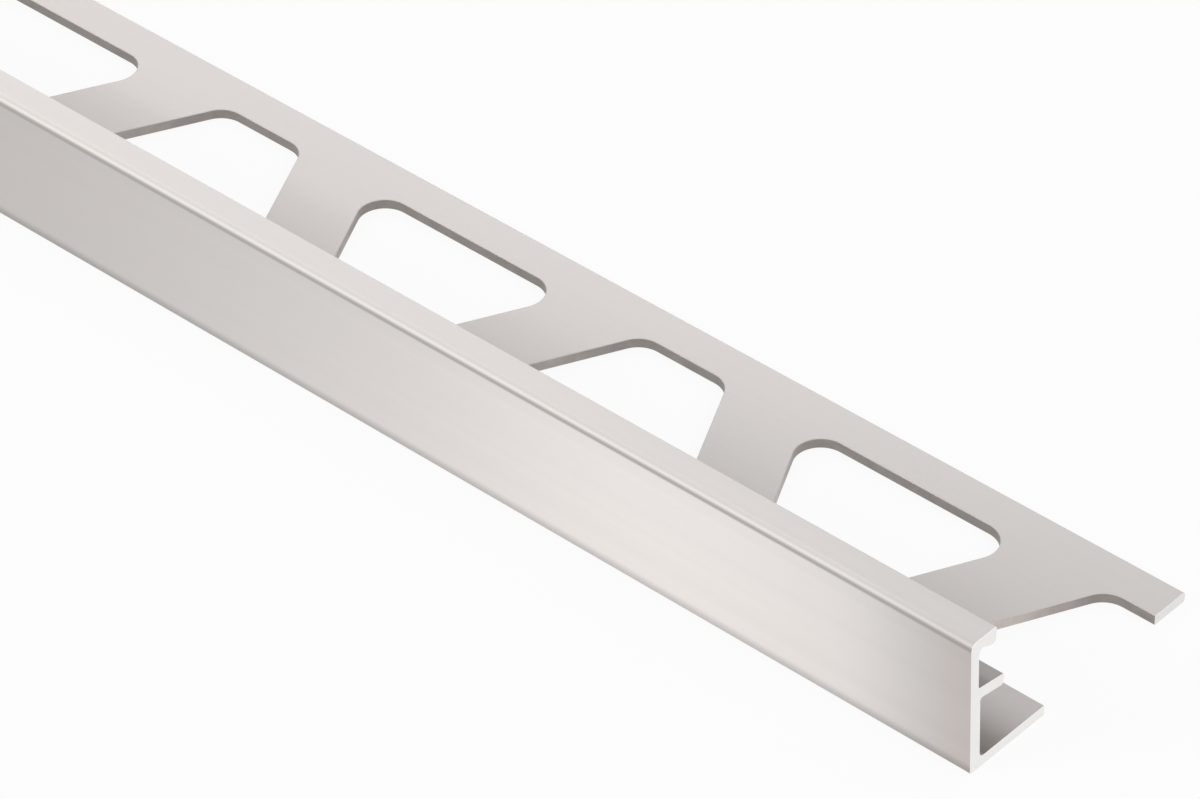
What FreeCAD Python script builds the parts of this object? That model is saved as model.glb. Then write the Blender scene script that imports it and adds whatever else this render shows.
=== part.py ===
import FreeCAD, Part
import math
import os

# Aluminium tile edge trim, one extruded and punched length of stock.
# The section is drawn across the length: Y runs from the visible wall towards the
# free edge of the anchoring leg, Z runs up. The length lies along X, and its +X end
# is sawn through the middle of a punched hole.

# Overall sizes, in millimetres and degrees
stock_length = 1000.0
profile_height = 12.5
wall_lean = 3.0

# Anchoring leg
leg_width = 25.0
leg_thickness = 0.9

# Visible wall, thicker from its foot up to the spacer rib than above it
lower_wall_thickness = 1.05
upper_wall_thickness = 0.85

# Lip that is folded in over the wall and shows as a narrow strip beside the tile
lip_width = 2.8
lip_root_thickness = 0.75
lip_nose_depth = 1.4
lip_nose_flat = 0.55

# Spacer rib that keeps the joint between the wall and the tile open
rib_height = 6.85
rib_thickness = 1.0
rib_projection = 3.25
rib_fall = 8.7

# Small radii of the section
foot_radius = 0.15
leg_tip_radius = 0.25
inner_corner_radius = 0.55
rib_root_radius = 0.25
rib_tip_radius = 0.25
lip_root_radius = 0.4
nose_underside_radius = 0.3
nose_top_radius = 0.15
top_edge_radius = 0.6

# Punched keying holes, the same trapezoid turned about from one to the next
hole_long_side = 21.4
hole_short_side = 8.6
hole_inner_margin = 8.4
hole_outer_strip = 3.6
hole_corner_radius = 2.2
web_between_holes = 7.6

# Share of an edge that one rounded corner may take up
corner_share = 0.48
# How far each punch runs past the faces of the leg
punch_overrun = 1.0


def line_meeting(point, direction, other_point, other_direction):
    """Point where two lines of the section cross."""
    cross = direction[0] * other_direction[1] - direction[1] * other_direction[0]
    across = other_point[0] - point[0]
    up = other_point[1] - point[1]
    along = (across * other_direction[1] - up * other_direction[0]) / cross
    return point[0] + along * direction[0], point[1] + along * direction[1]


def rounded_wire(corners, place):
    """Closed wire through corners ((u, v), radius), each rounded by a tangent arc.

    place turns a flat (u, v) point into a vector in space.
    """
    arcs = []
    count = len(corners)
    for index in range(count):
        before = FreeCAD.Vector(*corners[index - 1][0], 0)
        corner = FreeCAD.Vector(*corners[index][0], 0)
        after = FreeCAD.Vector(*corners[(index + 1) % count][0], 0)
        to_before = before - corner
        to_after = after - corner
        half_angle = to_before.getAngle(to_after) / 2
        longest = corner_share * min(to_before.Length, to_after.Length)
        reach = min(corners[index][1] / math.tan(half_angle), longest)
        radius = reach * math.tan(half_angle)
        to_before.normalize()
        to_after.normalize()
        inward = to_before + to_after
        inward.normalize()
        start = corner + to_before * reach
        middle = corner + inward * (radius / math.sin(half_angle) - radius)
        end = corner + to_after * reach
        arcs.append((place(start), place(middle), place(end)))
    edges = []
    for index in range(count):
        previous_end = arcs[index - 1][2]
        edges.append(Part.LineSegment(previous_end, arcs[index][0]).toShape())
        edges.append(Part.Arc(*arcs[index]).toShape())
    return Part.Wire(edges)


def section_corners():
    """Corners of the section, anticlockwise from the foot of the wall."""
    lean = math.radians(wall_lean)
    wall_line = (-math.sin(lean), math.cos(lean))
    leg_line = (1.0, 0.0)
    lower_face = (lower_wall_thickness / math.cos(lean), 0.0)
    upper_face = (upper_wall_thickness / math.cos(lean), 0.0)
    wall_top = (-profile_height * math.tan(lean), profile_height)

    fall = math.radians(rib_fall)
    rib_line = (math.cos(fall), -math.sin(fall))
    rib_up = (math.sin(fall), math.cos(fall))
    rib_under = (0.0, rib_height)
    rib_over = (rib_thickness * rib_up[0], rib_height + rib_thickness * rib_up[1])
    rib_tip = (rib_projection, rib_height - rib_projection * math.tan(fall))
    rib_tip_over = (rib_tip[0] + rib_thickness * rib_up[0], rib_tip[1] + rib_thickness * rib_up[1])

    nose_face = wall_top[0] + lip_width
    nose_bottom = profile_height - lip_nose_depth
    nose_inner = (nose_face - lip_nose_flat, nose_bottom)
    lip_root = (wall_top[0] + upper_wall_thickness, profile_height - lip_root_thickness)
    lip_line = (lip_root[0] - nose_inner[0], lip_root[1] - nose_inner[1])

    return [
        ((0.0, 0.0), foot_radius),
        ((leg_width, 0.0), leg_tip_radius),
        ((leg_width, leg_thickness), leg_tip_radius),
        (line_meeting(lower_face, wall_line, (0.0, leg_thickness), leg_line), inner_corner_radius),
        (line_meeting(lower_face, wall_line, rib_under, rib_line), rib_root_radius),
        (rib_tip, rib_tip_radius),
        (rib_tip_over, rib_tip_radius),
        (line_meeting(upper_face, wall_line, rib_over, rib_line), rib_root_radius),
        (line_meeting(upper_face, wall_line, nose_inner, lip_line), lip_root_radius),
        (nose_inner, nose_underside_radius),
        ((nose_face, nose_bottom), nose_underside_radius),
        ((nose_face, profile_height), nose_top_radius),
        (wall_top, top_edge_radius),
    ]


def outermost_face():
    """Y of the rounded top edge of the leaning wall, the trim's outermost line."""
    lean = math.radians(wall_lean)
    arc_height = profile_height - top_edge_radius
    arc_centre = top_edge_radius / math.cos(lean) - arc_height * math.tan(lean)
    return min(arc_centre - top_edge_radius, 0.0)


# The origin is midway along the length and across the width, on the underside.
foot_y = -(leg_width + outermost_face()) / 2
near_end_x = stock_length / 2


def extruded_profile():
    """The whole length of stock before it is punched."""
    def in_section(point):
        return FreeCAD.Vector(-near_end_x, foot_y + point[0], point[1])

    section = Part.Face(rounded_wire(section_corners(), in_section))
    return section.extrude(FreeCAD.Vector(stock_length, 0, 0))


def keying_punch(centre_x, widens_outwards):
    """Tool that punches one trapezoid hole through the leg."""
    inner_y = foot_y + hole_inner_margin
    outer_y = foot_y + leg_width - hole_outer_strip
    if widens_outwards:
        inner_half, outer_half = hole_short_side / 2, hole_long_side / 2
    else:
        inner_half, outer_half = hole_long_side / 2, hole_short_side / 2
    corners = [
        ((centre_x - inner_half, inner_y), hole_corner_radius),
        ((centre_x + inner_half, inner_y), hole_corner_radius),
        ((centre_x + outer_half, outer_y), hole_corner_radius),
        ((centre_x - outer_half, outer_y), hole_corner_radius),
    ]

    def below_leg(point):
        return FreeCAD.Vector(point[0], point[1], -punch_overrun)

    outline = Part.Face(rounded_wire(corners, below_leg))
    return outline.extrude(FreeCAD.Vector(0, 0, leg_thickness + 2 * punch_overrun))


def keying_punches():
    """Punches all along the leg, starting with the one that the near end halves."""
    pitch = (hole_long_side + hole_short_side) / 2 + web_between_holes
    count = math.ceil((stock_length + hole_long_side / 2) / pitch)
    return [
        keying_punch(near_end_x - index * pitch, index % 2 == 1)
        for index in range(count)
    ]


def edge_trim():
    """The finished trim, one solid."""
    return extruded_profile().cut(keying_punches())


trim = edge_trim()
os.makedirs("parts", exist_ok=True)
trim.exportStep("parts/edge_trim.step")
print("edge_trim solids", len(trim.Solids), "volume", round(trim.Volume), "mm3")
print("edge_trim box", trim.BoundBox)
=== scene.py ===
import math

import bpy
from mathutils import Matrix, Vector


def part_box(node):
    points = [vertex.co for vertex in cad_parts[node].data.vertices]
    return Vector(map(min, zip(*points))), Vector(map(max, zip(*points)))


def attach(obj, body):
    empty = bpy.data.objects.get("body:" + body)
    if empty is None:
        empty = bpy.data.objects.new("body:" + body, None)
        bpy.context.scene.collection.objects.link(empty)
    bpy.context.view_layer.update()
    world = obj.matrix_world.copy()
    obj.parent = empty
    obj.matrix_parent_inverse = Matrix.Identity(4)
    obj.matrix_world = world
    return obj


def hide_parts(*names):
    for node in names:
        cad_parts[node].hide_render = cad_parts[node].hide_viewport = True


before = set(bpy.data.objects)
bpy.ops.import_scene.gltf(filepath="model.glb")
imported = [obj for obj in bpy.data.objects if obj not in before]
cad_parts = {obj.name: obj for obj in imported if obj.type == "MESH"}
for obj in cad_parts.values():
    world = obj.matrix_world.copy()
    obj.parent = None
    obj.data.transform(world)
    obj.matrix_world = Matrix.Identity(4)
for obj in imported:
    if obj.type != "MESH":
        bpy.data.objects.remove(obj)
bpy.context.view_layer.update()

# Lengths below are in metres. MM turns a size in millimetres into metres.
MM = 0.001

# Overall sizes of the section
profile_height = 12.5 * MM
wall_lean = math.radians(3.0)

# Anchoring leg
leg_width = 25.0 * MM
leg_thickness = 0.9 * MM

# Visible wall, thicker from its foot up to the spacer rib than above it
lower_wall_thickness = 1.05 * MM
upper_wall_thickness = 0.85 * MM

# Lip that is folded in over the wall
lip_width = 2.8 * MM
lip_root_thickness = 0.75 * MM
lip_nose_depth = 1.4 * MM
lip_nose_flat = 0.55 * MM

# Spacer rib between the wall and the tile
rib_height = 6.85 * MM
rib_thickness = 1.0 * MM
rib_projection = 3.25 * MM
rib_fall = math.radians(8.7)

# Small radii of the section
foot_radius = 0.15 * MM
leg_tip_radius = 0.25 * MM
inner_corner_radius = 0.55 * MM
rib_root_radius = 0.25 * MM
rib_tip_radius = 0.25 * MM
lip_root_radius = 0.4 * MM
nose_underside_radius = 0.3 * MM
nose_top_radius = 0.15 * MM
top_edge_radius = 0.6 * MM

# Punched keying holes, the same trapezoid turned about from one to the next
hole_long_side = 21.4 * MM
hole_short_side = 8.6 * MM
hole_inner_margin = 8.4 * MM
hole_outer_strip = 3.6 * MM
hole_corner_radius = 2.2 * MM
web_between_holes = 7.6 * MM

# Rolled upper rim and small lower rim of the holes, and broken edge of the sawn ends
upper_rim_radius = 0.06 * MM
lower_rim_radius = 0.05 * MM
end_edge_radius = 0.03 * MM

# Share of an edge that one rounded corner may take up
corner_share = 0.48

# How finely the arcs are divided
section_step = math.radians(8.0)
hole_step = math.radians(5.0)
fewest_arc_pieces = 2
rim_divisions = 3
end_edge_divisions = 2

# Points nearer than this are one point
merge_distance = 1e-4 * MM

# Where the trim lies, and where the broken edges of its sawn ends begin
trim_low, trim_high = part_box("edge_trim")
near_end = trim_high.x
far_end = trim_low.x
foot_y = trim_high.y - leg_width
near_cut = near_end - end_edge_radius
far_cut = far_end + end_edge_radius

# The two sides of the row of holes, towards the wall and towards the leg's free edge
hole_inner_y = foot_y + hole_inner_margin
hole_outer_y = foot_y + leg_width - hole_outer_strip

# Material slots of the mesh
FACE = 0
TOP_EDGE = 1
LEG = 2
INNER = 3
PUNCHED = 4
SAWN = 5

# Numbers of those corners of the section that are asked for
FOOT_CORNER = 0
TIP_BOTTOM_CORNER = 1
TIP_TOP_CORNER = 2
INNER_CORNER = 3
NOSE_CORNER = 10
TOP_EDGE_CORNER = 12

# Numbers of a hole's corners
INNER_LEFT = 0
INNER_RIGHT = 1
OUTER_RIGHT = 2
OUTER_LEFT = 3

# Numbers of a hole's halves
RIGHT = 0
LEFT = 1


def line_meeting(point, direction, other_point, other_direction):
    """Point where two lines cross."""
    cross = direction[0] * other_direction[1] - direction[1] * other_direction[0]
    across = other_point[0] - point[0]
    up = other_point[1] - point[1]
    along = (across * other_direction[1] - up * other_direction[0]) / cross
    return point[0] + along * direction[0], point[1] + along * direction[1]


def quarter_turn(divisions):
    """Angles that divide a quarter turn."""
    return [math.pi / 2 * division / divisions for division in range(divisions + 1)]


def way_along(places):
    """The way along a line to each of its places."""
    way = [0.0]
    for here, there in zip(places, places[1:]):
        way.append(way[-1] + (there - here).length)
    return way


def rounded_outline(corners, step):
    """Points of a closed outline whose corners are rounded by tangent arcs.

    corners are ((u, v), radius), anticlockwise. Each point comes back as its place,
    its outward normal and the number of the corner that it belongs to.
    """
    outline = []
    count = len(corners)
    for number in range(count):
        corner = Vector(corners[number][0])
        to_before = Vector(corners[number - 1][0]) - corner
        to_after = Vector(corners[(number + 1) % count][0]) - corner
        half_angle = to_before.angle(to_after) / 2
        longest = corner_share * min(to_before.length, to_after.length)
        reach = min(corners[number][1] / math.tan(half_angle), longest)
        radius = reach * math.tan(half_angle)
        to_before.normalize()
        to_after.normalize()
        inward = (to_before + to_after).normalized()
        centre = corner + inward * radius / math.sin(half_angle)
        first = corner + to_before * reach - centre
        last = corner + to_after * reach - centre
        turn = first.x * last.y - first.y * last.x
        convex = turn > 0
        swing = math.atan2(turn, first.dot(last))
        pieces = max(fewest_arc_pieces, math.ceil(abs(swing) / step))
        for piece in range(pieces + 1):
            arm = Matrix.Rotation(swing * piece / pieces, 2) @ first
            normal = arm.normalized() if convex else -arm.normalized()
            outline.append((centre + arm, normal, number))
    return outline


def section_corners():
    """Corners of the section, anticlockwise from the foot of the wall."""
    wall_line = (-math.sin(wall_lean), math.cos(wall_lean))
    leg_line = (1.0, 0.0)
    lower_face = (lower_wall_thickness / math.cos(wall_lean), 0.0)
    upper_face = (upper_wall_thickness / math.cos(wall_lean), 0.0)
    wall_top = (-profile_height * math.tan(wall_lean), profile_height)

    rib_line = (math.cos(rib_fall), -math.sin(rib_fall))
    rib_up = (math.sin(rib_fall), math.cos(rib_fall))
    rib_under = (0.0, rib_height)
    rib_over = (rib_thickness * rib_up[0], rib_height + rib_thickness * rib_up[1])
    rib_tip = (rib_projection, rib_height - rib_projection * math.tan(rib_fall))
    rib_tip_over = (
        rib_tip[0] + rib_thickness * rib_up[0],
        rib_tip[1] + rib_thickness * rib_up[1],
    )

    nose_face = wall_top[0] + lip_width
    nose_bottom = profile_height - lip_nose_depth
    nose_inner = (nose_face - lip_nose_flat, nose_bottom)
    lip_root = (wall_top[0] + upper_wall_thickness, profile_height - lip_root_thickness)
    lip_line = (lip_root[0] - nose_inner[0], lip_root[1] - nose_inner[1])

    wall_meets_leg = line_meeting(lower_face, wall_line, (0.0, leg_thickness), leg_line)
    wall_meets_rib = line_meeting(lower_face, wall_line, rib_under, rib_line)
    rib_meets_wall = line_meeting(upper_face, wall_line, rib_over, rib_line)
    wall_meets_lip = line_meeting(upper_face, wall_line, nose_inner, lip_line)
    return [
        ((0.0, 0.0), foot_radius),
        ((leg_width, 0.0), leg_tip_radius),
        ((leg_width, leg_thickness), leg_tip_radius),
        (wall_meets_leg, inner_corner_radius),
        (wall_meets_rib, rib_root_radius),
        (rib_tip, rib_tip_radius),
        (rib_tip_over, rib_tip_radius),
        (rib_meets_wall, rib_root_radius),
        (wall_meets_lip, lip_root_radius),
        (nose_inner, nose_underside_radius),
        ((nose_face, nose_bottom), nose_underside_radius),
        ((nose_face, profile_height), nose_top_radius),
        (wall_top, top_edge_radius),
    ]


class HolePoint:
    """A point on the edge of a hole, seen from above.

    normal points into the hole. The point moves against slide as the edge is set back
    into the metal.
    """

    def __init__(self, place, normal, slide):
        self.place = place
        self.normal = normal
        self.slide = slide

    def set_back(self, distance):
        return self.place - self.slide * distance


def hole_halves(centre_x, widens_outwards):
    """The right and left half of a hole's edge, each from its inner to its outer side."""
    inner_half = (hole_short_side if widens_outwards else hole_long_side) / 2
    outer_half = (hole_long_side if widens_outwards else hole_short_side) / 2
    corners = [
        ((centre_x - inner_half, hole_inner_y), hole_corner_radius),
        ((centre_x + inner_half, hole_inner_y), hole_corner_radius),
        ((centre_x + outer_half, hole_outer_y), hole_corner_radius),
        ((centre_x - outer_half, hole_outer_y), hole_corner_radius),
    ]
    outline = rounded_outline(corners, hole_step)

    def arc(number):
        return [
            HolePoint(place, -normal, -normal)
            for place, normal, corner in outline
            if corner == number
        ]

    outwards = Vector((0, 1))
    inner_middle = HolePoint(Vector((centre_x, hole_inner_y)), outwards, outwards)
    outer_middle = HolePoint(Vector((centre_x, hole_outer_y)), -outwards, -outwards)
    right_arcs = arc(INNER_RIGHT) + arc(OUTER_RIGHT)
    left_arcs = arc(INNER_LEFT)[::-1] + arc(OUTER_LEFT)[::-1]
    return (
        [inner_middle] + right_arcs + [outer_middle],
        [inner_middle] + left_arcs + [outer_middle],
    )


def cut_half(half, cut_x):
    """The parts of a hole's left half that remain where the far end cuts through it."""
    parts = [[]]
    for before, after in zip(half, half[1:]):
        parts[-1].append(before)
        inside = before.place.x > cut_x
        if inside != (after.place.x > cut_x):
            share = (cut_x - before.place.x) / (after.place.x - before.place.x)
            place = before.place.lerp(after.place, share)
            slide = Vector((0, 1 / before.normal.y))
            crossing = HolePoint(place, before.normal, slide)
            if inside:
                parts[-1].append(crossing)
                parts.append([])
            else:
                parts[-1] = [crossing]
    parts[-1].append(half[-1])
    return parts


def steps_through_leg():
    """Steps from the underside to the top along the side of a hole.

    Each is how far the side is set back, its height, and its normal's share across
    and share up.
    """
    steps = []
    for angle in quarter_turn(rim_divisions):
        set_back = lower_rim_radius * (1 - math.sin(angle))
        height = lower_rim_radius * (1 - math.cos(angle))
        steps.append((set_back, height, math.sin(angle), -math.cos(angle)))
    for angle in quarter_turn(rim_divisions):
        set_back = upper_rim_radius * (1 - math.cos(angle))
        height = leg_thickness - upper_rim_radius * (1 - math.sin(angle))
        steps.append((set_back, height, math.cos(angle), math.sin(angle)))
    return steps


class TrimMesh:
    """Collects points with their own normals, and faces with their grain and slot.

    A corner of a face is (point, place), where the place is across and along the grain
    of the metal.
    """

    def __init__(self):
        self.points = []
        self.normals = []
        self.known = {}
        self.faces = []
        self.grain = []
        self.slots = []

    def point(self, place, normal):
        key = tuple(round(value / merge_distance) for value in place)
        if key not in self.known:
            self.known[key] = len(self.points)
            self.points.append(tuple(place))
            self.normals.append(tuple(Vector(normal).normalized()))
        return self.known[key]

    def face(self, corners, slot, flipped=False):
        """A face through its corners, without those that fall on the one before."""
        if flipped:
            corners = corners[::-1]
        kept = [
            (point, place)
            for number, (point, place) in enumerate(corners)
            if point != corners[number - 1][0]
        ]
        if len({point for point, place in kept}) < 3:
            return
        self.faces.append([point for point, place in kept])
        self.grain.extend(place for point, place in kept)
        self.slots.append(slot)

    def strip(self, row, next_row, slot, flipped=False):
        """The faces between two rows of corners."""
        for corners in zip(row, row[1:], next_row[1:], next_row):
            self.face(corners, slot, flipped)

    def build(self, name):
        mesh = bpy.data.meshes.new(name)
        mesh.from_pydata(self.points, [], self.faces)
        layer = mesh.uv_layers.new(name="grain")
        layer.data.foreach_set("uv", [value for place in self.grain for value in place])
        mesh.polygons.foreach_set("material_index", self.slots)
        mesh.polygons.foreach_set("use_smooth", [True] * len(self.faces))
        mesh.validate(clean_customdata=False)
        mesh.normals_split_custom_set_from_vertices(self.normals)
        return mesh


# The section's outline, and the way round to each of its points and back to the first
section = rounded_outline(section_corners(), section_step)
section_count = len(section)
girth = way_along([place for place, normal, corner in section + section[:1]])

# The first and the last point of each corner of the section
first_of_corner = {}
last_of_corner = {}
for index, (place, normal, corner) in enumerate(section):
    first_of_corner.setdefault(corner, index)
    last_of_corner[corner] = index

# The middles of the holes, and the stations between which the long faces are divided
pitch = (hole_long_side + hole_short_side) / 2 + web_between_holes
hole_count = math.ceil((near_end - far_end + hole_long_side / 2) / pitch)
centres = [near_end - index * pitch for index in range(hole_count)]
stations = [near_cut] + centres[1:] + [far_cut]

# The holes. The near end cuts the first along its middle, the far end cuts the last.
leg_steps = steps_through_leg()
halves = [hole_halves(centre, index % 2 == 1) for index, centre in enumerate(centres)]
near_half = halves[0][LEFT]
for point in (near_half[0], near_half[-1]):
    point.place.x = near_cut
far_inner_part, far_outer_part = cut_half(halves[-1][LEFT], far_cut)

trim = TrimMesh()


def outline_vertex(x, y, z, normal_y, normal_z, edge_turn=0.0, outward=0.0):
    """Vertex of an outline across the trim.

    At an end, edge_turn is how far its broken edge has turned, and outward is the side
    that it faces.
    """
    inset = end_edge_radius * (1 - math.cos(edge_turn))
    along = outward * end_edge_radius * math.sin(edge_turn)
    place = (x + along, y - normal_y * inset, z - normal_z * inset)
    across = math.cos(edge_turn)
    normal = (outward * math.sin(edge_turn), normal_y * across, normal_z * across)
    return trim.point(place, normal)


def section_vertex(x, index):
    """Vertex at a point of the section."""
    place, normal, corner = section[index]
    return outline_vertex(x, foot_y + place.x, place.y, normal.x, normal.y)


def slot_of(index):
    """Material slot of the strip that starts at a point of the section."""
    corner = section[index][2]
    if corner in (TIP_BOTTOM_CORNER, TIP_TOP_CORNER):
        return LEG
    if INNER_CORNER <= corner < NOSE_CORNER:
        return INNER
    if corner == NOSE_CORNER and index != last_of_corner[NOSE_CORNER]:
        return INNER
    if corner == TOP_EDGE_CORNER and index != last_of_corner[TOP_EDGE_CORNER]:
        return TOP_EDGE
    return FACE


def profile_row(index, way):
    """The corners along the trim at a point of the section, a given way round it."""
    return [(section_vertex(x, index), (way, x)) for x in stations]


def add_profile_strips():
    """The faces that run the whole length, apart from the two flat sides of the leg."""
    for index in range(section_count):
        if index in (last_of_corner[FOOT_CORNER], last_of_corner[TIP_TOP_CORNER]):
            continue
        row = profile_row(index, girth[index])
        next_row = profile_row((index + 1) % section_count, girth[index + 1])
        trim.strip(row, next_row, slot_of(index))


def set_back_edge(points, distance):
    """The places of a hole's edge, set back into the metal."""
    return [tuple(point.set_back(distance)) for point in points]


def leg_face(outline, height, upwards):
    """One flat face of the leg, from one hole to the next."""
    normal = (0, 0, 1 if upwards else -1)
    corners = [(trim.point((x, y, height), normal), (y, x)) for x, y in outline]
    trim.face(corners, LEG, flipped=not upwards)


def add_leg_side(height, rim, inner_index, outer_index):
    """One flat side of the leg, between two points of the section."""
    upwards = height > 0
    inner_y = foot_y + section[inner_index][0].x
    outer_y = foot_y + section[outer_index][0].x
    for index in range(hole_count - 1):
        right = stations[index]
        left = stations[index + 1]
        near_edge = set_back_edge(halves[index][LEFT], rim)
        far_edge = set_back_edge(halves[index + 1][RIGHT], rim)
        outline = [(left, inner_y), (right, inner_y)] + near_edge
        outline += [(right, outer_y), (left, outer_y)] + far_edge[::-1]
        leg_face(outline, height, upwards)
    right = stations[-2]
    left = stations[-1]
    inner_edge = set_back_edge(far_inner_part, rim)
    outer_edge = set_back_edge(far_outer_part, rim)
    leg_face([(left, inner_y), (right, inner_y)] + inner_edge, height, upwards)
    leg_face(outer_edge + [(right, outer_y), (left, outer_y)], height, upwards)


def hole_side(part, flipped=False):
    """The punched side along a part of a hole's edge, with its two rims."""
    along_edge = way_along([point.place for point in part])
    up_side = way_along([Vector(step[:2]) for step in leg_steps])
    rows = []
    for way_up, (set_back, height, across, up) in zip(up_side, leg_steps):
        row = []
        for way, point in zip(along_edge, part):
            place = (*point.set_back(set_back), height)
            normal = (point.normal.x * across, point.normal.y * across, up)
            row.append((trim.point(place, normal), (way, way_up)))
        rows.append(row)
    for level, (row, next_row) in enumerate(zip(rows, rows[1:])):
        slot = PUNCHED if level == rim_divisions else LEG
        trim.strip(row, next_row, slot, flipped)


def add_hole_sides():
    """The punched sides of every hole, as far as the two ends leave them."""
    for index, (right_half, left_half) in enumerate(halves):
        if index > 0:
            hole_side(right_half, flipped=True)
        if index < hole_count - 1:
            hole_side(left_half)
    hole_side(far_inner_part)
    hole_side(far_outer_part)


def end_loops(inner_point, outer_point):
    """The two closed loops where an end cuts the leg, as (y, z, normal y, normal z)."""

    def side(point):
        steps = []
        for set_back, height, across, up in leg_steps:
            normal = Vector((point.normal.y * across, up)).normalized()
            steps.append((point.set_back(set_back).y, height, normal.x, normal.y))
        return steps

    def arcs(first_corner, last_corner):
        return [
            (foot_y + place.x, place.y, normal.x, normal.y)
            for place, normal, corner in section
            if first_corner <= corner <= last_corner
        ]

    foot_arc = arcs(FOOT_CORNER, FOOT_CORNER)
    inner_loop = foot_arc + side(inner_point) + arcs(INNER_CORNER, TOP_EDGE_CORNER)
    outer_loop = side(outer_point)[::-1] + arcs(TIP_BOTTOM_CORNER, TIP_TOP_CORNER)
    return inner_loop, outer_loop


def add_end(cut_x, outward, loops):
    """The sawn face of one end and the broken edge round it."""
    flipped = outward < 0
    for loop in loops:
        rings = [
            [outline_vertex(cut_x, *spot, turn, outward) for spot in loop]
            for turn in quarter_turn(end_edge_divisions)
        ]
        grain = [(y, z) for y, z, normal_y, normal_z in loop]
        edge_grain = [(y, z + end_edge_radius) for y, z in grain]
        for ring, next_ring in zip(rings, rings[1:]):
            row = list(zip(ring, grain))
            next_row = list(zip(next_ring, edge_grain))
            trim.strip(row + row[:1], next_row + next_row[:1], SAWN, flipped)
        trim.face(list(zip(rings[-1], grain)), SAWN, flipped)


def add_object(name, data):
    """A new object in the scene."""
    added = bpy.data.objects.new(name, data)
    bpy.context.scene.collection.objects.link(added)
    return added


add_profile_strips()
add_leg_side(
    0.0,
    lower_rim_radius,
    last_of_corner[FOOT_CORNER],
    first_of_corner[TIP_BOTTOM_CORNER],
)
add_leg_side(
    leg_thickness,
    upper_rim_radius,
    first_of_corner[INNER_CORNER],
    last_of_corner[TIP_TOP_CORNER],
)
add_hole_sides()
add_end(near_cut, 1.0, end_loops(near_half[0], near_half[-1]))
add_end(far_cut, -1.0, end_loops(far_inner_part[-1], far_outer_part[0]))

trim_piece = add_object("edge_trim_finished", trim.build("edge_trim_finished"))

PLAIN_WHITE = (1.0, 1.0, 1.0, 1.0)

# Sockets of the Mix node, whose names repeat: its share, then two values or two colours
MIX_SHARE = 0
MIX_VALUES = (2, 3)
MIX_COLOURS = (6, 7)
MIXED_VALUE = 0
MIXED_COLOUR = 2

# The range that nearly all of a noise lies in
usual_noise = (0.3, 0.7)

# Share of a surface that shines as metal does, under the anodic film and where it is bare
finish_metal_share = 0.8
bare_metal_share = 1.0


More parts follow.
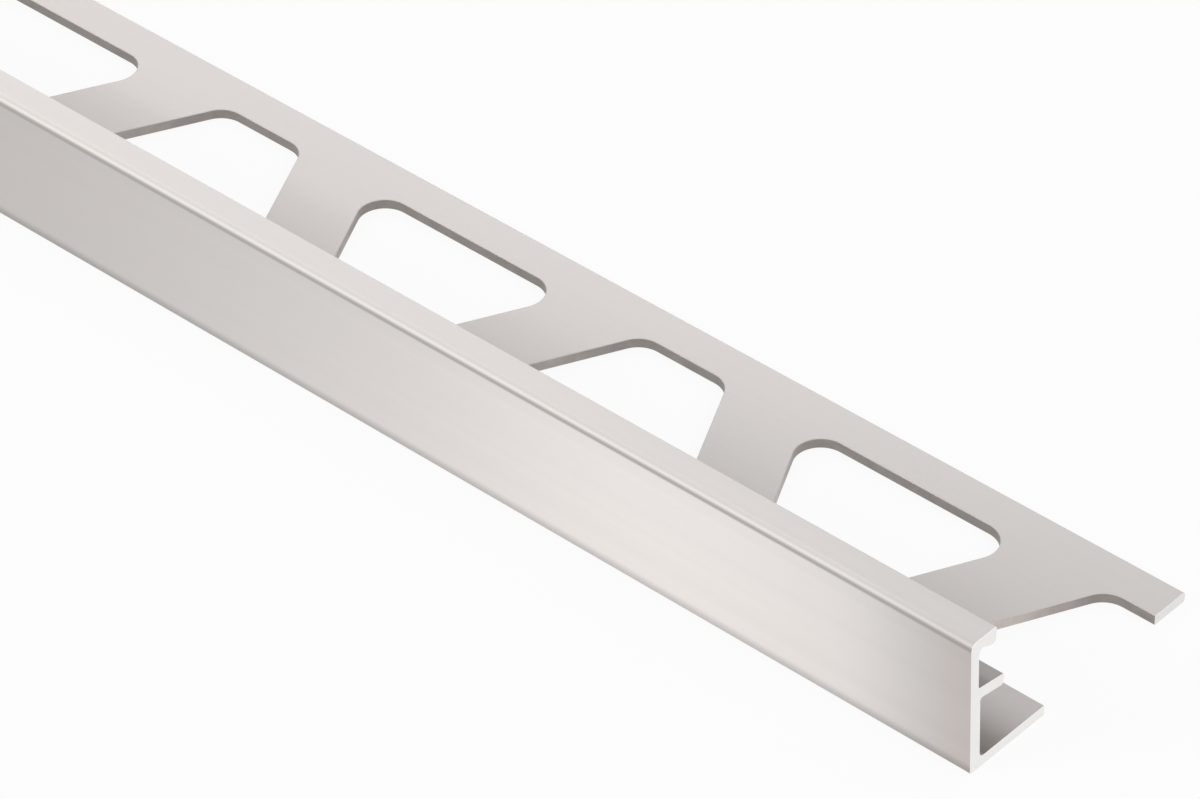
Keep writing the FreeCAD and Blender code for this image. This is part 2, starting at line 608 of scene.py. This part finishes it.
class Nodes:
    """Short ways to add and join the nodes of a material or of the world."""

    def __init__(self, owner, output_kind="ShaderNodeOutputMaterial"):
        owner.use_nodes = True
        self.owner = owner
        self.tree = owner.node_tree
        self.tree.nodes.clear()
        self.output = self.add(output_kind)

    def add(self, kind, inputs=None, **settings):
        node = self.tree.nodes.new(kind)
        for name, value in settings.items():
            setattr(node, name, value)
        for name, value in (inputs or {}).items():
            self.set(node.inputs[name], value)
        return node

    def set(self, socket, value):
        if isinstance(value, bpy.types.NodeSocket):
            self.tree.links.new(value, socket)
        else:
            socket.default_value = value

    def finish(self, shader):
        """Joins a shader to the output and gives back what the nodes belong to."""
        self.set(self.output.inputs["Surface"], shader)
        return self.owner

    def place(self, kind="Object"):
        """The place on the object, or its normal, split into the object's three axes."""
        vector = self.add("ShaderNodeTexCoord").outputs[kind]
        return self.add("ShaderNodeSeparateXYZ", {"Vector": vector})

    def noise(self, scale, detail, roughness):
        """Noise over the object, from 0 to 1, with its own scale along each axis."""
        place = self.add("ShaderNodeTexCoord").outputs["Object"]
        mapping = self.add("ShaderNodeMapping", {"Vector": place, "Scale": scale})
        inputs = {
            "Vector": mapping.outputs["Vector"],
            "Scale": 1.0,
            "Detail": detail,
            "Roughness": roughness,
        }
        return self.add("ShaderNodeTexNoise", inputs).outputs["Fac"]

    def ramp(self, value, start, end, first, last, kind="LINEAR"):
        """A level that goes from first to last while the value goes from start to end."""
        inputs = {
            "Value": value,
            "From Min": start,
            "From Max": end,
            "To Min": first,
            "To Max": last,
        }
        node = self.add("ShaderNodeMapRange", inputs, interpolation_type=kind)
        return node.outputs["Result"]

    def fade(self, value, start, end, first, last):
        """A ramp with eased ends."""
        return self.ramp(value, start, end, first, last, "SMOOTHSTEP")

    def spread(self, noise, low, high):
        """Noise as a level from low to high."""
        return self.ramp(noise, *usual_noise, low, high)

    def math(self, operation, first, second=0.0):
        node = self.add("ShaderNodeMath", {0: first, 1: second}, operation=operation)
        return node.outputs["Value"]

    def mix(self, share, first, second):
        """A value between two others."""
        inputs = {MIX_SHARE: share, MIX_VALUES[0]: first, MIX_VALUES[1]: second}
        return self.add("ShaderNodeMix", inputs, data_type="FLOAT").outputs[MIXED_VALUE]

    def blend(self, share, first, second):
        """A colour between two others."""
        inputs = {MIX_SHARE: share, MIX_COLOURS[0]: first, MIX_COLOURS[1]: second}
        return self.add("ShaderNodeMix", inputs, data_type="RGBA").outputs[MIXED_COLOUR]

    def tint(self, colour, other):
        """The product of two colours."""
        inputs = {0: colour, 1: other}
        return self.add("ShaderNodeVectorMath", inputs, operation="MULTIPLY").outputs["Vector"]

    def dim(self, colour, *levels):
        """The colour times one or more levels."""
        for level in levels:
            inputs = {0: colour, "Scale": level}
            scaled = self.add("ShaderNodeVectorMath", inputs, operation="SCALE")
            colour = scaled.outputs["Vector"]
        return colour

    def bump(self, height, distance, strength):
        inputs = {"Height": height, "Distance": distance, "Strength": strength}
        return self.add("ShaderNodeBump", inputs).outputs["Normal"]

    def mix_shaders(self, share, first, second):
        inputs = {0: share, 1: first, 2: second}
        return self.add("ShaderNodeMixShader", inputs).outputs["Shader"]

    def metal(self, colour, roughness, anisotropy, normal, metal_share=finish_metal_share):
        """The material, with highlights that are drawn out across the grain."""
        tangent = self.add("ShaderNodeTangent", direction_type="UV_MAP", uv_map="grain")
        inputs = {
            "Base Color": colour,
            "Metallic": metal_share,
            "Roughness": roughness,
            "Anisotropic": anisotropy,
            "Tangent": tangent.outputs["Tangent"],
            "Normal": normal,
        }
        return self.finish(self.add("ShaderNodeBsdfPrincipled", inputs).outputs["BSDF"])


# The two colours between which each kind of surface varies
FINISH_COLOURS = ((0.63, 0.595, 0.576, 1.0), (0.617, 0.588, 0.574, 1.0))
# The top edge's colours are lighter than the face's as a painted highlight
TOP_EDGE_COLOURS_WITH_PAINTED_HIGHLIGHT = ((0.65, 0.615, 0.591, 1.0), (0.637, 0.608, 0.589, 1.0))
# The inner side's colours are darker than the face's as painted shade
INNER_COLOURS_WITH_PAINTED_SHADE = ((0.42, 0.396, 0.38, 1.0), (0.412, 0.392, 0.379, 1.0))
PUNCHED_COLOURS = ((0.305, 0.277, 0.262, 1.0), (0.352, 0.321, 0.305, 1.0))
SAWN_COLOURS = ((0.893, 0.876, 0.858, 1.0), (0.931, 0.915, 0.898, 1.0))

# Noise of the surface: its scale along X, Y and Z, its detail and its roughness
FINE_LINES = ((12.0, 9000.0, 9000.0), 4.0, 0.6)
BROAD_LINES = ((4.0, 900.0, 900.0), 3.0, 0.55)
CLOUDS = ((25.0, 60.0, 60.0), 2.0, 0.5)
PUNCH_LINES = ((6000.0, 6000.0, 300.0), 3.0, 0.6)
PUNCH_PATCHES = ((700.0, 700.0, 900.0), 2.0, 0.5)
SAW_LINES = ((300.0, 300.0, 9000.0), 3.0, 0.6)

# How strongly the brushed lines show, as a share of the colour
face_line_share = 0.01
leg_line_share = 0.012
inner_line_share = 0.015

# Roughness and relief of the satin surface
satin_roughness = (0.385, 0.415)
satin_relief = 0.002 * MM
satin_relief_strength = 0.12
top_edge_added_roughness = 0.2
inner_added_roughness = 0.08

# How far the satin surface draws its highlights out, by how well it is brushed
brushed_anisotropy = 1.0
inner_anisotropy = 0.8
rubbed_anisotropy = 0.0

# The punched side: levels of its lines, roughness and relief
punch_line_levels = (0.93, 1.05)
punched_roughness = (0.48, 0.6)
punched_anisotropy = 0.5
punched_relief = 0.01 * MM
punched_relief_strength = 0.3

# The sawn end: roughness and relief
sawn_roughness = (0.36, 0.46)
sawn_anisotropy = 0.4
sawn_relief = 0.006 * MM
sawn_relief_strength = 0.3

# The round of the top edge, as the way round the section
top_edge_start = girth[first_of_corner[TOP_EDGE_CORNER]]
top_edge_end = girth[last_of_corner[TOP_EDGE_CORNER]]

# A painted reflection: a dark line along the lower part of the top edge
painted_reflection_line_girth = top_edge_end - 0.115 * MM
painted_reflection_line_half_width = 0.32 * MM
painted_reflection_line_core = 0.2 * painted_reflection_line_half_width
painted_reflection_line_end_level = 0.71
painted_reflection_line_level = 0.655

# Painted shade and highlight: the top edge is darker over its round and lighter where it meets
# the lip
lip_side_start = top_edge_start + 0.1 * MM
lip_side_end = top_edge_start + 0.4 * MM
painted_lip_side_highlight_level = 1.065
painted_round_shade_level = 0.955
top_edge_painted_end_shade_share = 0.4

# Painted shade: the face, the lip and the top edge are darker near the sawn ends, and warmer in
# tint
painted_end_shade_reach = 13.0 * MM
painted_end_shade_level = 0.775
warm_end_reach = 5.0 * MM
warm_end_colour = (1.0, 0.955, 0.948, 1.0)

# Painted shade: the face is darker along its foot
painted_foot_shade_reach = 1.1 * MM
painted_foot_shade_level = 0.7
painted_foot_line_level = 0.6

# Painted shade: the face is a little darker above its middle, and far from the sawn ends
upper_face_start = 6.0 * MM
upper_face_end = 10.0 * MM
painted_upper_face_shade_level = 0.974
painted_far_face_shade_start = 60.0 * MM
painted_far_face_shade_end = 110.0 * MM
painted_far_face_shade_level = 0.9

# Painted highlight: the lip and the top edge brighten away from the sawn ends
painted_lip_light_start = 25.0 * MM
painted_lip_light_end = 95.0 * MM
painted_lip_end_shade_level = 0.97
painted_lip_highlight_level = 1.035
painted_top_edge_highlight_level = 1.05

# Painted shade: the leg is darker and warmer beside the wall
painted_wall_shade_start = 0.4 * MM
painted_wall_shade_reach = 6.0 * MM
painted_wall_shade_colour = (0.487, 0.462, 0.449, 1.0)

# Painted shadow: the leg is darker beside the lip than at its outer edge, the more so away from
# the ends
painted_lip_shadow_start = 12.0 * MM
painted_lip_shadow_end = 20.5 * MM
painted_lip_shadow_reach = 105.0 * MM
painted_lip_shadow_end_level = 1.03
painted_lip_shadow_level = 0.86

# How squarely a side of a hole faces along the trim, from not slanted to slanted
slant_start = 0.3
slant_end = 0.8

# Painted light: the slanted sides of the holes are brighter towards the wall, the more so near
# the ends
painted_slant_light_start = 13.0 * MM
painted_slant_light_outer_level = 0.97
painted_slant_light_inner_level = 1.3
painted_slant_light_end_level = 1.96
painted_slant_light_end_reach = 56.0 * MM

# How squarely the inner side faces upwards, from not a top to a top
upward_start = 0.5
upward_end = 0.9

# Painted shade: the top of the rib is darker by the wall
painted_rib_shade_start = 1.3 * MM
painted_rib_shade_end = 2.2 * MM
painted_rib_shade_level = 0.8

# The sawn end is a little darker on the strip outside the holes
outer_strip_cut_level = 0.913


def material_nodes(name):
    return Nodes(bpy.data.materials.new(name))


def satin(nodes, colours, line_share):
    """Colour, roughness and normal of the satin surface, with fine lines along it."""
    lines = nodes.noise(*FINE_LINES)
    broad_lines = nodes.noise(*BROAD_LINES)
    clouds = nodes.noise(*CLOUDS)
    colour = nodes.blend(nodes.spread(clouds, 0.0, 1.0), *colours)
    level = nodes.math(
        "MULTIPLY",
        nodes.spread(lines, 1 - line_share, 1 + line_share),
        nodes.spread(broad_lines, 1 - line_share, 1 + line_share),
    )
    roughness = nodes.spread(broad_lines, *satin_roughness)
    normal = nodes.bump(lines, satin_relief, satin_relief_strength)
    return nodes.dim(colour, level), roughness, normal


def way_round(nodes):
    """The way round the section, from the foot."""
    spot = nodes.add("ShaderNodeUVMap", uv_map="grain").outputs["UV"]
    return nodes.add("ShaderNodeSeparateXYZ", {"Vector": spot}).outputs["X"]


def distance_from_end(nodes, place):
    """The distance from the nearer sawn end."""
    return nodes.math("SUBTRACT", near_end, nodes.math("ABSOLUTE", place.outputs["X"]))


def along_lip(nodes, from_end, end_level, level):
    """A level of painted highlight and shade that changes away from the sawn ends as the lip
    does.
    """
    return nodes.fade(from_end, painted_lip_light_start, painted_lip_light_end, end_level, level)


def painted_reflection_line(nodes, from_end):
    """Level of the painted reflection, a dark line along the top edge."""
    away = nodes.math("ABSOLUTE", nodes.math("SUBTRACT", way_round(nodes), painted_reflection_line_girth))
    darkest = along_lip(nodes, from_end, painted_reflection_line_end_level, painted_reflection_line_level)
    return nodes.fade(away, painted_reflection_line_core, painted_reflection_line_half_width, darkest, 1.0)


def end_warmth_and_painted_shade(nodes, from_end):
    """Colour of the warmer tint and of the painted shade towards both sawn ends."""
    warmth = nodes.fade(from_end, 0.0, warm_end_reach, 1.0, 0.0)
    tint = nodes.blend(warmth, PLAIN_WHITE, warm_end_colour)
    return nodes.dim(tint, nodes.fade(from_end, 0.0, painted_end_shade_reach, painted_end_shade_level, 1.0))


def face_finish():
    """The visible face and lip, brushed along the length and anodised."""
    nodes = material_nodes("brushed_face")
    colour, roughness, normal = satin(nodes, FINISH_COLOURS, face_line_share)
    place = nodes.place()
    height = place.outputs["Z"]
    from_end = distance_from_end(nodes, place)
    edge_bottom = profile_height - top_edge_radius
    # From here the colour carries painted shade, highlight and reflection
    below_top = nodes.fade(height, edge_bottom, profile_height, 1.0, 0.0)
    colour = nodes.tint(colour, nodes.blend(below_top, PLAIN_WHITE, end_warmth_and_painted_shade(nodes, from_end)))
    painted_upper_shade = nodes.fade(height, upper_face_start, upper_face_end, 1.0, painted_upper_face_shade_level)
    painted_far_shade = nodes.fade(from_end, painted_far_face_shade_start, painted_far_face_shade_end, 1.0, painted_far_face_shade_level)
    painted_face_shade = nodes.math("MULTIPLY", painted_far_shade, painted_upper_shade)
    painted_lip_light = along_lip(nodes, from_end, painted_lip_end_shade_level, painted_lip_highlight_level)
    colour = nodes.dim(
        colour,
        nodes.mix(below_top, painted_lip_light, painted_face_shade),
        nodes.fade(height, foot_radius, painted_foot_shade_reach, painted_foot_shade_level, 1.0),
        nodes.fade(height, 0.0, foot_radius, painted_foot_line_level, 1.0),
        painted_reflection_line(nodes, from_end),
    )
    return nodes.metal(colour, roughness, brushed_anisotropy, normal)


def top_edge_finish():
    """The rounded top edge, rubbed in every direction as the lip is folded, with painted
    highlight, shade and reflection.
    """
    nodes = material_nodes("rubbed_top_edge_with_painted_highlight")
    colour, roughness, normal = satin(nodes, TOP_EDGE_COLOURS_WITH_PAINTED_HIGHLIGHT, face_line_share)
    from_end = distance_from_end(nodes, nodes.place())
    # The colour below carries painted highlight, shade and reflection
    tint = nodes.blend(top_edge_painted_end_shade_share, PLAIN_WHITE, end_warmth_and_painted_shade(nodes, from_end))
    colour = nodes.dim(
        nodes.tint(colour, tint),
        nodes.fade(way_round(nodes), lip_side_start, lip_side_end, painted_lip_side_highlight_level, painted_round_shade_level),
        along_lip(nodes, from_end, 1.0, painted_top_edge_highlight_level),
        painted_reflection_line(nodes, from_end),
    )
    roughness = nodes.math("ADD", roughness, top_edge_added_roughness)
    return nodes.metal(colour, roughness, rubbed_anisotropy, normal)


def leg_finish():
    """The anchoring leg, with painted shade beside the wall and a painted shadow beside the
    lip.
    """
    nodes = material_nodes("brushed_leg")
    colour, roughness, normal = satin(nodes, FINISH_COLOURS, leg_line_share)
    place = nodes.place()
    wall_y = foot_y + lower_wall_thickness
    away_from_wall = nodes.fade(
        place.outputs["Y"], wall_y + painted_wall_shade_start, wall_y + painted_wall_shade_reach, 0.0, 1.0
    )
    painted_wall_shade = nodes.blend(away_from_wall, painted_wall_shade_colour, PLAIN_WHITE)
    painted_lip_shadow = nodes.ramp(
        distance_from_end(nodes, place),
        0.0,
        painted_lip_shadow_reach,
        painted_lip_shadow_end_level,
        painted_lip_shadow_level,
    )
    level = nodes.fade(
        place.outputs["Y"], foot_y + painted_lip_shadow_start, foot_y + painted_lip_shadow_end, painted_lip_shadow, 1.0
    )
    upper_side = nodes.fade(place.outputs["Z"], 0.0, leg_thickness, 0.0, 1.0)
    painted_top_side_shade = nodes.dim(painted_wall_shade, level)
    colour = nodes.tint(colour, nodes.blend(upper_side, PLAIN_WHITE, painted_top_side_shade))
    return nodes.metal(colour, roughness, brushed_anisotropy, normal)


def inner_finish():
    """The inner side of the wall, the rib and the underside of the lip, less brushed and
    darkened by painted shade.
    """
    nodes = material_nodes("unbrushed_inner_side_with_painted_shade")
    colour, roughness, normal = satin(nodes, INNER_COLOURS_WITH_PAINTED_SHADE, inner_line_share)
    facing = nodes.place("Normal").outputs["Z"]
    on_top = nodes.fade(facing, upward_start, upward_end, 0.0, 1.0)
    # Painted shade on the rib's top by the wall
    painted_rib_shade = nodes.fade(
        nodes.place().outputs["Y"],
        foot_y + painted_rib_shade_start,
        foot_y + painted_rib_shade_end,
        painted_rib_shade_level,
        1.0,
    )
    colour = nodes.dim(colour, nodes.mix(on_top, 1.0, painted_rib_shade))
    roughness = nodes.math("ADD", roughness, inner_added_roughness)
    return nodes.metal(colour, roughness, inner_anisotropy, normal)


def punched_side():
    """The sheared side of a punched hole, darker and rougher, with fine upright lines."""
    nodes = material_nodes("punched_side")
    lines = nodes.noise(*PUNCH_LINES)
    patches = nodes.noise(*PUNCH_PATCHES)
    colour = nodes.blend(nodes.spread(patches, 0.0, 1.0), *PUNCHED_COLOURS)
    facing = nodes.math("ABSOLUTE", nodes.place("Normal").outputs["X"])
    slanted = nodes.fade(facing, slant_start, slant_end, 0.0, 1.0)
    place = nodes.place()
    # Painted light on the slanted sides, brighter towards the wall and near the ends
    painted_slant_light_by_end = nodes.fade(
        distance_from_end(nodes, place),
        0.0,
        painted_slant_light_end_reach,
        painted_slant_light_end_level,
        painted_slant_light_inner_level,
    )
    painted_slant_light = nodes.fade(
        place.outputs["Y"],
        foot_y + painted_slant_light_start,
        hole_outer_y,
        painted_slant_light_by_end,
        painted_slant_light_outer_level,
    )
    line_level = nodes.spread(lines, *punch_line_levels)
    colour = nodes.dim(colour, line_level, nodes.mix(slanted, 1.0, painted_slant_light))
    roughness = nodes.spread(lines, *punched_roughness)
    normal = nodes.bump(lines, punched_relief, punched_relief_strength)
    return nodes.metal(colour, roughness, punched_anisotropy, normal)


def sawn_end():
    """The bright sawn end, with the faint lines that the saw leaves."""
    nodes = material_nodes("sawn_end")
    lines = nodes.noise(*SAW_LINES)
    colour = nodes.blend(nodes.spread(lines, 0.0, 1.0), *SAWN_COLOURS)
    level = nodes.fade(
        nodes.place().outputs["Y"], hole_inner_y, hole_outer_y, 1.0, outer_strip_cut_level
    )
    colour = nodes.dim(colour, level)
    roughness = nodes.spread(lines, *sawn_roughness)
    normal = nodes.bump(lines, sawn_relief, sawn_relief_strength)
    return nodes.metal(colour, roughness, sawn_anisotropy, normal, bare_metal_share)


# The materials, in the order of the slots
for finish in (face_finish, top_edge_finish, leg_finish, inner_finish, punched_side, sawn_end):
    trim_piece.data.materials.append(finish())

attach(trim_piece, "root")
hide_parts("edge_trim")

# The floor, which lies a hair under the trim and shows nearly white
floor_half_width = 30.0
floor_drop = 0.02 * MM
floor_colour = (0.93, 0.93, 0.93, 1.0)
floor_brightening = 0.9

# Surroundings: white to the eye and in reflections, and soft for scattered light
ambient_strength = 0.62


def seen_directly(nodes):
    """1 for what the camera, a reflection or glass sees, and 0 for scattered light."""
    path = nodes.add("ShaderNodeLightPath")
    seen = nodes.math("MAXIMUM", path.outputs["Is Camera Ray"], path.outputs["Is Glossy Ray"])
    return nodes.math("MAXIMUM", seen, path.outputs["Is Transmission Ray"])


def pale_floor():
    nodes = material_nodes("pale_floor")
    matt = nodes.add("ShaderNodeBsdfDiffuse", {"Color": floor_colour})
    white = nodes.add("ShaderNodeEmission", {"Color": PLAIN_WHITE, "Strength": 1.0})
    share = nodes.math("MULTIPLY", seen_directly(nodes), floor_brightening)
    return nodes.finish(
        nodes.mix_shaders(share, matt.outputs["BSDF"], white.outputs["Emission"])
    )


def surroundings():
    nodes = Nodes(bpy.data.worlds.new("surroundings"), "ShaderNodeOutputWorld")

    def background(strength):
        inputs = {"Color": PLAIN_WHITE, "Strength": strength}
        return nodes.add("ShaderNodeBackground", inputs).outputs["Background"]

    share = seen_directly(nodes)
    return nodes.finish(
        nodes.mix_shaders(share, background(ambient_strength), background(1.0))
    )


def flat_square(name, half_width, height):
    corners = [(-1, -1), (1, -1), (1, 1), (-1, 1)]
    points = [(x * half_width, y * half_width, height) for x, y in corners]
    mesh = bpy.data.meshes.new(name)
    mesh.from_pydata(points, [], [(0, 1, 2, 3)])
    return add_object(name, mesh)


floor = flat_square("floor", floor_half_width, -floor_drop)
floor.data.materials.append(pale_floor())

bpy.context.scene.world = surroundings()

# What the lamps are turned to, in the near part of the trim
lamp_target = Vector((0.46, -0.0122, 0.006))

# The kinds of softbox, by the distance and size of their faces
STRIP = {"distance": 0.28, "width": 0.024, "height": 0.12}
SOFTBOX = {"distance": 1.2, "width": 0.35, "height": 0.4}
WIDE_SOFTBOX = {"distance": 1.2, "width": 0.7, "height": 0.7}


def add_aimed(name, data, place, direction):
    """A lamp or a camera at a place, aimed in a direction."""
    holder = add_object(name, data)
    holder.location = place
    holder.rotation_mode = "QUATERNION"
    holder.rotation_quaternion = direction.to_track_quat("-Z", "Y")
    return holder


def soft_lamp(name, box, turned, raised, brightness):
    """A softbox turned to the trim.

    turned is its angle in degrees from the visible face's side, by way of the far end,
    and raised its angle above the floor. brightness is the radiance of its face.
    """
    turned = math.radians(turned)
    raised = math.radians(raised)
    towards_lamp = Vector(
        (
            -math.sin(turned) * math.cos(raised),
            -math.cos(turned) * math.cos(raised),
            math.sin(raised),
        )
    )
    lamp = bpy.data.lights.new(name, "AREA")
    lamp.shape = "RECTANGLE"
    lamp.size = box["width"]
    lamp.size_y = box["height"]
    lamp.energy = math.pi * box["width"] * box["height"] * brightness
    place = lamp_target + towards_lamp * box["distance"]
    holder = add_aimed(name, lamp, place, -towards_lamp)
    holder.visible_camera = False


soft_lamp("face_strip", STRIP, turned=27.5, raised=14, brightness=5.2)
soft_lamp("second_face_strip", STRIP, turned=31.5, raised=14, brightness=2.4)
soft_lamp("key_softbox", SOFTBOX, turned=30, raised=32, brightness=4.4)
soft_lamp("second_key_softbox", SOFTBOX, turned=45, raised=32, brightness=1.3)
soft_lamp("back_softbox", SOFTBOX, turned=135, raised=38, brightness=1.0)
soft_lamp("far_softbox", SOFTBOX, turned=120, raised=38, brightness=0.65)
soft_lamp("near_end_softbox", WIDE_SOFTBOX, turned=-90, raised=35, brightness=1.4)
soft_lamp("end_softbox", SOFTBOX, turned=105, raised=38, brightness=1.0)

# Camera
camera_place = (0.675768, -0.248895, 0.270625)
camera_yaw = math.radians(131.679)
camera_pitch = math.radians(38.863)
camera_lens = 169.463
sensor_width = 36.0
nearest_seen = 0.01
farthest_seen = 100.0

view_direction = Vector(
    (
        math.cos(camera_yaw) * math.cos(camera_pitch),
        math.sin(camera_yaw) * math.cos(camera_pitch),
        -math.sin(camera_pitch),
    )
)
camera = bpy.data.cameras.new("camera")
camera.lens = camera_lens
camera.sensor_width = sensor_width
camera.sensor_fit = "HORIZONTAL"
camera.clip_start = nearest_seen
camera.clip_end = farthest_seen
bpy.context.scene.camera = add_aimed("camera", camera, camera_place, view_direction)

bpy.context.scene.view_settings.view_transform = "Standard"
